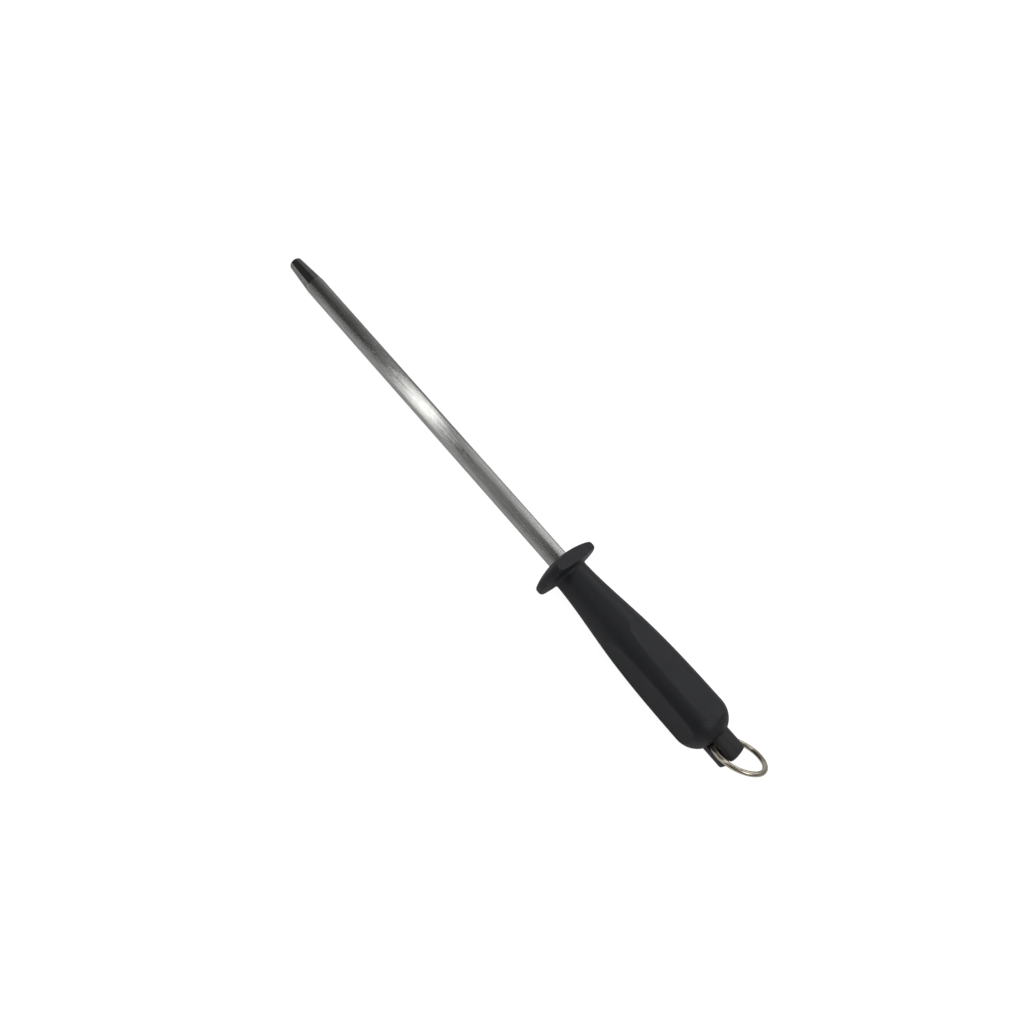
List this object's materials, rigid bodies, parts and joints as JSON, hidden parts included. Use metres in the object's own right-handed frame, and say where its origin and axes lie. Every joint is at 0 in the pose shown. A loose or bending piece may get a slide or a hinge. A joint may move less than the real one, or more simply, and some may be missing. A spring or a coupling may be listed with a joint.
{
  "type": "knife sharpening steel",
  "caption": "Round fluted sharpening steel with a domed guard and a faceted moulded handle, ending in a swivelling lug with a hanging ring.",
  "frame": {"origin": "on the steel's axis, where the rod leaves the front of the guard", "axes": "+X along the axis towards the butt of the handle, so the rod points along -X; +Z square to the guard's upper flat, away from the flat that it lies on"},
  "size_m": [0.3678, 0.037, 0.0276],
  "materials": {
    "rod_steel": "fine lengthwise fluting, polished tip",
    "handle_plastic": "satin moulded, black",
    "lug_plastic": "satin moulded, black",
    "plain_steel": "bright zinc plated",
    "ring_nickel": "worn nickel plating, warm"
  },
  "bodies": {
    "handle": {"rod": "rod_steel", "guard": "handle_plastic", "grip": "handle_plastic", "swivel_washer": "plain_steel", "swivel_screw": "plain_steel"},
    "lug": {"swivel_lug": "lug_plastic"},
    "pin": {"cross_pin": "plain_steel"},
    "ring": {"ring": "ring_nickel"}
  },
  "joints": [
    {"name": "lug_swivel", "type": "hinge", "parent": "handle", "child": "lug", "pos_m": [0.1176, 0, 0], "axis": [1, 0, 0], "continuous": true},
    {"name": "ring_swing", "type": "hinge", "parent": "lug", "child": "pin", "pos_m": [0.1176, 0, 0], "axis": [0, 0.342, 0.9397], "range_deg": [-3, 33]},
    {"name": "ring_lean", "type": "hinge", "parent": "pin", "child": "ring", "pos_m": [0.11606, 0.00039, -0.00014], "axis": [0.2588, 0.9077, -0.3304], "range_deg": [0, 48]}
  ]
}
